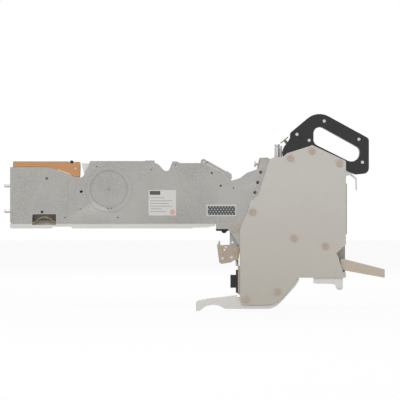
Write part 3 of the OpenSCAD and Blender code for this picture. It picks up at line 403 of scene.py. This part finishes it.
# ---------------------------------------------------------------------------------------------
# Rating plate and code plate.
# Two printed foil plates glued to the outer face.  The rating plate is left generic: a dark header,
# plain rows and a pale disc.  The code plate is a dark field with a lattice of small light dots.
foil = finish_material(
    "plate_foil", (0.60, 0.59, 0.57), (0.56, 0.55, 0.53), (0.7, 0.69, 0.67), 0.38, grain=2500, bump=0.03, dusty=0.05
)
print_dark = finish_material(
    "plate_print", (0.075, 0.075, 0.078), (0.06, 0.06, 0.062), (0.3, 0.3, 0.3), 0.42, grain=2500, bump=0.03, dusty=0.05
)
print_grey = finish_material(
    "plate_rows", (0.36, 0.355, 0.345), (0.32, 0.315, 0.305), (0.5, 0.5, 0.5), 0.4, grain=2500, bump=0.03, dusty=0.05
)
print_rose = finish_material(
    "plate_disc", (0.60, 0.36, 0.31), (0.55, 0.32, 0.28), (0.7, 0.6, 0.55), 0.4, grain=2500, bump=0.03, dusty=0.05
)
plate_lift = 0.0002
print_lift = 0.00026


def plate_box(left, low, right, high):
    return [(left, low), (right, low), (right, high), (left, high)]


face_strip("rating_plate", plate_box(172.9, 18.2, 211.4, 53.9), foil, "feeder_frame", plate_lift, 0.0002)
face_strip("rating_header", plate_box(174.6, 47.2, 189.4, 52.6), print_dark, "feeder_frame", print_lift)
row_left, row_t = 175.4, 1.0
plain_rows = ((42.6, 20), (38.4, 31), (34.6, 26), (30.8, 31), (27.0, 16), (23.2, 22))
for index, (low, length) in enumerate(plain_rows):
    face_strip(f"rating_row_{index}", plate_box(row_left, low, row_left + length, low + row_t), print_grey,
               "feeder_frame", print_lift)
disc_at, disc_r = (206.5, 23.1), 3.6
disc_sides = 32
disc_edge = [
    (disc_at[0] + disc_r * math.cos(math.tau * k / disc_sides), disc_at[1] + disc_r * math.sin(math.tau * k / disc_sides))
    for k in range(disc_sides)
]
face_strip("rating_disc", disc_edge, print_rose, "feeder_frame", print_lift)
face_strip("code_plate", plate_box(254.2, 17.6, 295.6, 33.4), foil, "feeder_frame", plate_lift, 0.0002)
face_strip("code_field", plate_box(255.8, 18.8, 294.4, 31.6), print_dark, "feeder_frame", print_lift)


def lattice_tree(name, material):
    """Geometry Nodes: rows of small four-sided dots, every other row shifted by half a pitch."""
    tree = bpy.data.node_groups.new(name, "GeometryNodeTree")
    for label, value in (("Columns", 9), ("Rows", 4)):
        tree.interface.new_socket(label, in_out="INPUT", socket_type="NodeSocketInt").default_value = value
    for label, value in (("Pitch", 0.0042), ("Dot", 0.00075)):
        tree.interface.new_socket(label, in_out="INPUT", socket_type="NodeSocketFloat").default_value = value
    tree.interface.new_socket("Geometry", in_out="OUTPUT", socket_type="NodeSocketGeometry")
    start, end = tree.nodes.new("NodeGroupInput"), tree.nodes.new("NodeGroupOutput")
    count = math_node(tree, "MULTIPLY", start.outputs["Columns"], start.outputs["Rows"])
    points = tree.nodes.new("GeometryNodePoints")
    tree.links.new(count, points.inputs["Count"])
    order = tree.nodes.new("GeometryNodeInputIndex").outputs[0]
    row = math_node(tree, "FLOOR", math_node(tree, "DIVIDE", order, start.outputs["Columns"]))
    column = math_node(tree, "SUBTRACT", order, math_node(tree, "MULTIPLY", row, start.outputs["Columns"]))
    shifted = math_node(tree, "ADD", column, math_node(tree, "MULTIPLY", math_node(tree, "MODULO", row, 2.0), 0.5))
    place = tree.nodes.new("ShaderNodeCombineXYZ")
    tree.links.new(math_node(tree, "MULTIPLY", shifted, start.outputs["Pitch"]), place.inputs["X"])
    tree.links.new(math_node(tree, "MULTIPLY", row, math_node(tree, "MULTIPLY", start.outputs["Pitch"], 0.8)),
                   place.inputs["Z"])
    tree.links.new(place.outputs[0], points.inputs["Position"])
    dot = tree.nodes.new("GeometryNodeMeshCylinder")
    dot.inputs["Vertices"].default_value = 8
    dot.inputs["Depth"].default_value = 0.00006
    tree.links.new(start.outputs["Dot"], dot.inputs["Radius"])
    spread = tree.nodes.new("GeometryNodeInstanceOnPoints")
    spread.inputs["Rotation"].default_value = (math.pi / 2, 0, 0)
    tree.links.new(points.outputs[0], spread.inputs["Points"])
    tree.links.new(dot.outputs["Mesh"], spread.inputs["Instance"])
    real = tree.nodes.new("GeometryNodeRealizeInstances")
    tree.links.new(spread.outputs[0], real.inputs[0])
    coat = tree.nodes.new("GeometryNodeSetMaterial")
    coat.inputs["Material"].default_value = material
    tree.links.new(real.outputs[0], coat.inputs["Geometry"])
    tree.links.new(coat.outputs[0], end.inputs[0])
    return tree


def grown(name, tree, values, offset):
    """Runs a Geometry Nodes tree on an empty piece and keeps the plain mesh, moved into place."""
    seed = bpy.data.objects.new(name, bpy.data.meshes.new(name))
    bpy.context.scene.collection.objects.link(seed)
    maker = seed.modifiers.new("made", "NODES")
    maker.node_group = tree
    for item in tree.interface.items_tree:
        if item.in_out == "INPUT" and item.name in values:
            maker[item.identifier] = values[item.name]
    plain = bpy.data.meshes.new_from_object(seed.evaluated_get(bpy.context.evaluated_depsgraph_get()))
    seed.modifiers.clear()
    plain.transform(Matrix.Translation(offset))
    plain.name = name
    seed.data = plain
    return seed


dots = grown("code_dots", lattice_tree("dot_lattice", foil), {"Columns": 9, "Rows": 4, "Pitch": 0.0042, "Dot": 0.00075},
             (0.2571, face_y - 0.00031, 0.0202))
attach(dots, "feeder_frame")

# ---------------------------------------------------------------------------------------------
# Tape guide and clear stop.
# The guide is a thin folded sheet, anodised amber, that holds the tape down and hinges at its rear.
amber_anodised = finish_material(
    "amber_anodised", (0.50, 0.262, 0.118), (0.44, 0.222, 0.096), (0.72, 0.60, 0.46), 0.36, metal=0.45, wear_and_highlight=0.8,
    grain=1400, bump=0.06, smear=30
)
bevelled("tape_guide", amber_anodised, 0.00025)
milky_plastic = finish_material(
    "milky_plastic", (0.66, 0.645, 0.62), (0.62, 0.60, 0.575), (0.75, 0.74, 0.72), 0.34, grain=600, bump=0.05
)
milky_plastic.node_tree.nodes["Principled BSDF"].inputs["Subsurface Weight"].default_value = 0.25
milky_plastic.node_tree.nodes["Principled BSDF"].inputs["Subsurface Radius"].default_value = (0.002, 0.0018, 0.0015)

# ---------------------------------------------------------------------------------------------
# Rail, pins, rollers, screws, springs and other bright steel.
# Ground, turned and stamped steel, some nickel plated, some passivated to a pale tan.
bright_steel = finish_material(
    "bright_steel", (0.56, 0.55, 0.53), (0.47, 0.46, 0.44), (0.8, 0.79, 0.77), 0.32, metal=0.85, grain=1800, bump=0.08
)
rail_steel = finish_material(
    "rail_steel", (0.60, 0.59, 0.56), (0.55, 0.54, 0.51), (0.8, 0.79, 0.77), 0.42, metal=0.25, grain=1400, bump=0.06
)
tan_steel = finish_material(
    "tan_steel", (0.44, 0.365, 0.29), (0.36, 0.295, 0.23), (0.70, 0.64, 0.55), 0.4, metal=0.5, grain=1100, bump=0.1
)
passivated = finish_material(
    "passivated_steel", (0.402, 0.337, 0.270), (0.33, 0.275, 0.218), (0.62, 0.58, 0.52), 0.42, metal=0.55, wear_and_highlight=0.8,
    grain=1000, bump=0.12, smear=40
)

# ---------------------------------------------------------------------------------------------
# Sheet covers and rear plate.
# Folded sheet, painted a warm pale grey, drawn darker and warmer towards the foot of the box: a gradient that is partly
# painted shade and reflection.
cover_paint = finish_material(
    "cover_paint", (0.497, 0.474, 0.442), (0.474, 0.451, 0.420), (0.60, 0.59, 0.57), 0.46, metal=0.12, wear_and_highlight=0.6,
    grain=1100, bump=0.07, smear=12, dusty=0.1
)
paint_tree = cover_paint.node_tree
paint_place = paint_tree.nodes.new("ShaderNodeSeparateXYZ")
paint_tree.links.new(paint_tree.nodes.new("ShaderNodeTexCoord").outputs["Object"], paint_place.inputs[0])
# Painted shade and reflection: the cover is drawn darker and warmer towards the foot of the box.
painted_foot_shade = range_node(paint_tree, paint_place.outputs["Z"], 0.06, -0.10, 0.0, 0.75)
paint_shader = paint_tree.nodes["Principled BSDF"]
paint_before = paint_shader.inputs["Base Color"].links[0].from_socket
paint_tree.links.new(mixed(paint_tree, painted_foot_shade, paint_before, (0.434, 0.402, 0.345)), paint_shader.inputs["Base Color"])
for node in ("near_cover", "far_cover", "rear_plate"):
    bevelled(node, cover_paint, 0.0003, 2)

# ---------------------------------------------------------------------------------------------
# Handle, connector and other black mouldings.
# Glass-filled nylon: charcoal, faintly sparked surface, edges drawn grey, partly polished by hands and partly painted
# highlight.
handle_nylon = finish_material(
    "handle_nylon", (0.018, 0.018, 0.0185), (0.012, 0.012, 0.0125), (0.13, 0.13, 0.13), 0.42, wear_and_highlight=0.5, grain=1300,
    bump=0.3, smear=26, edge=0.0012
)
handle_nylon.node_tree.nodes["Principled BSDF"].inputs["Specular IOR Level"].default_value = 0.35
for node in ("handle_near", "handle_far"):
    bevelled(node, handle_nylon, 0.0011, 3)
black_moulding = finish_material(
    "black_moulding", (0.016, 0.016, 0.017), (0.011, 0.011, 0.012), (0.10, 0.10, 0.10), 0.38, grain=1600, bump=0.12
)
black_moulding.node_tree.nodes["Principled BSDF"].inputs["Specular IOR Level"].default_value = 0.35
bevelled("connector_housing", black_moulding, 0.0003, 2)
black_rubber = finish_material(
    "black_rubber", (0.022, 0.022, 0.022), (0.018, 0.018, 0.018), (0.05, 0.05, 0.05), 0.75, grain=900, bump=0.3
)

# ---------------------------------------------------------------------------------------------
# Inlet chute, inner parts and all that keeps its shape from the frame.
# Moulded beige chute, gear plastic, motor cases, brass and bronze bushes, board and contacts.
beige_plastic = finish_material(
    "beige_plastic", (0.478, 0.412, 0.336), (0.44, 0.377, 0.305), (0.6, 0.56, 0.5), 0.46, grain=900, bump=0.1
)
foot_plastic = finish_material(
    "foot_plastic", (0.68, 0.635, 0.59), (0.63, 0.585, 0.54), (0.75, 0.73, 0.7), 0.42, grain=900, bump=0.06
)
motor_case = finish_material(
    "motor_case", (0.055, 0.055, 0.06), (0.045, 0.045, 0.05), (0.3, 0.3, 0.3), 0.4, metal=0.5, grain=1200, bump=0.1
)
brass = finish_material(
    "brass", (0.60, 0.42, 0.16), (0.52, 0.36, 0.13), (0.8, 0.66, 0.36), 0.32, metal=0.85, grain=1500, bump=0.06
)
gear_nylon = finish_material(
    "gear_nylon", (0.62, 0.60, 0.54), (0.58, 0.56, 0.50), (0.7, 0.69, 0.66), 0.45, grain=1200, bump=0.08
)
board_green = finish_material(
    "board_green", (0.03, 0.16, 0.07), (0.02, 0.12, 0.05), (0.25, 0.3, 0.2), 0.35, grain=700, bump=0.1
)
finishes = {
    "cast_aluminium": cast_aluminium, "cover_paint": cover_paint, "amber_guide": amber_anodised,
    "steel": bright_steel, "tan_steel": passivated, "clear_plastic": milky_plastic, "dark_motor": motor_case,
    "gear_plastic": gear_nylon, "brass": brass, "bronze": brass, "black_rubber": black_rubber,
    "handle_plastic": handle_nylon, "black_plastic": black_moulding, "beige_plastic": beige_plastic,
    "foot_plastic": foot_plastic, "gold_contact": brass, "board": board_green
}
for node in nodes:
    wear_finish(node, finishes[slot_of[node]])
wear_finish("cover_screws", tan_steel)
wear_finish("bottom_rail", rail_steel)
for node in ("clamp_bracket", "inlet_chute", "panel_bracket", "takeup_lid", "release_lever", "inlet_guide"):
    bevelled(node, nodes[node].data.materials[0], 0.0002, 2)
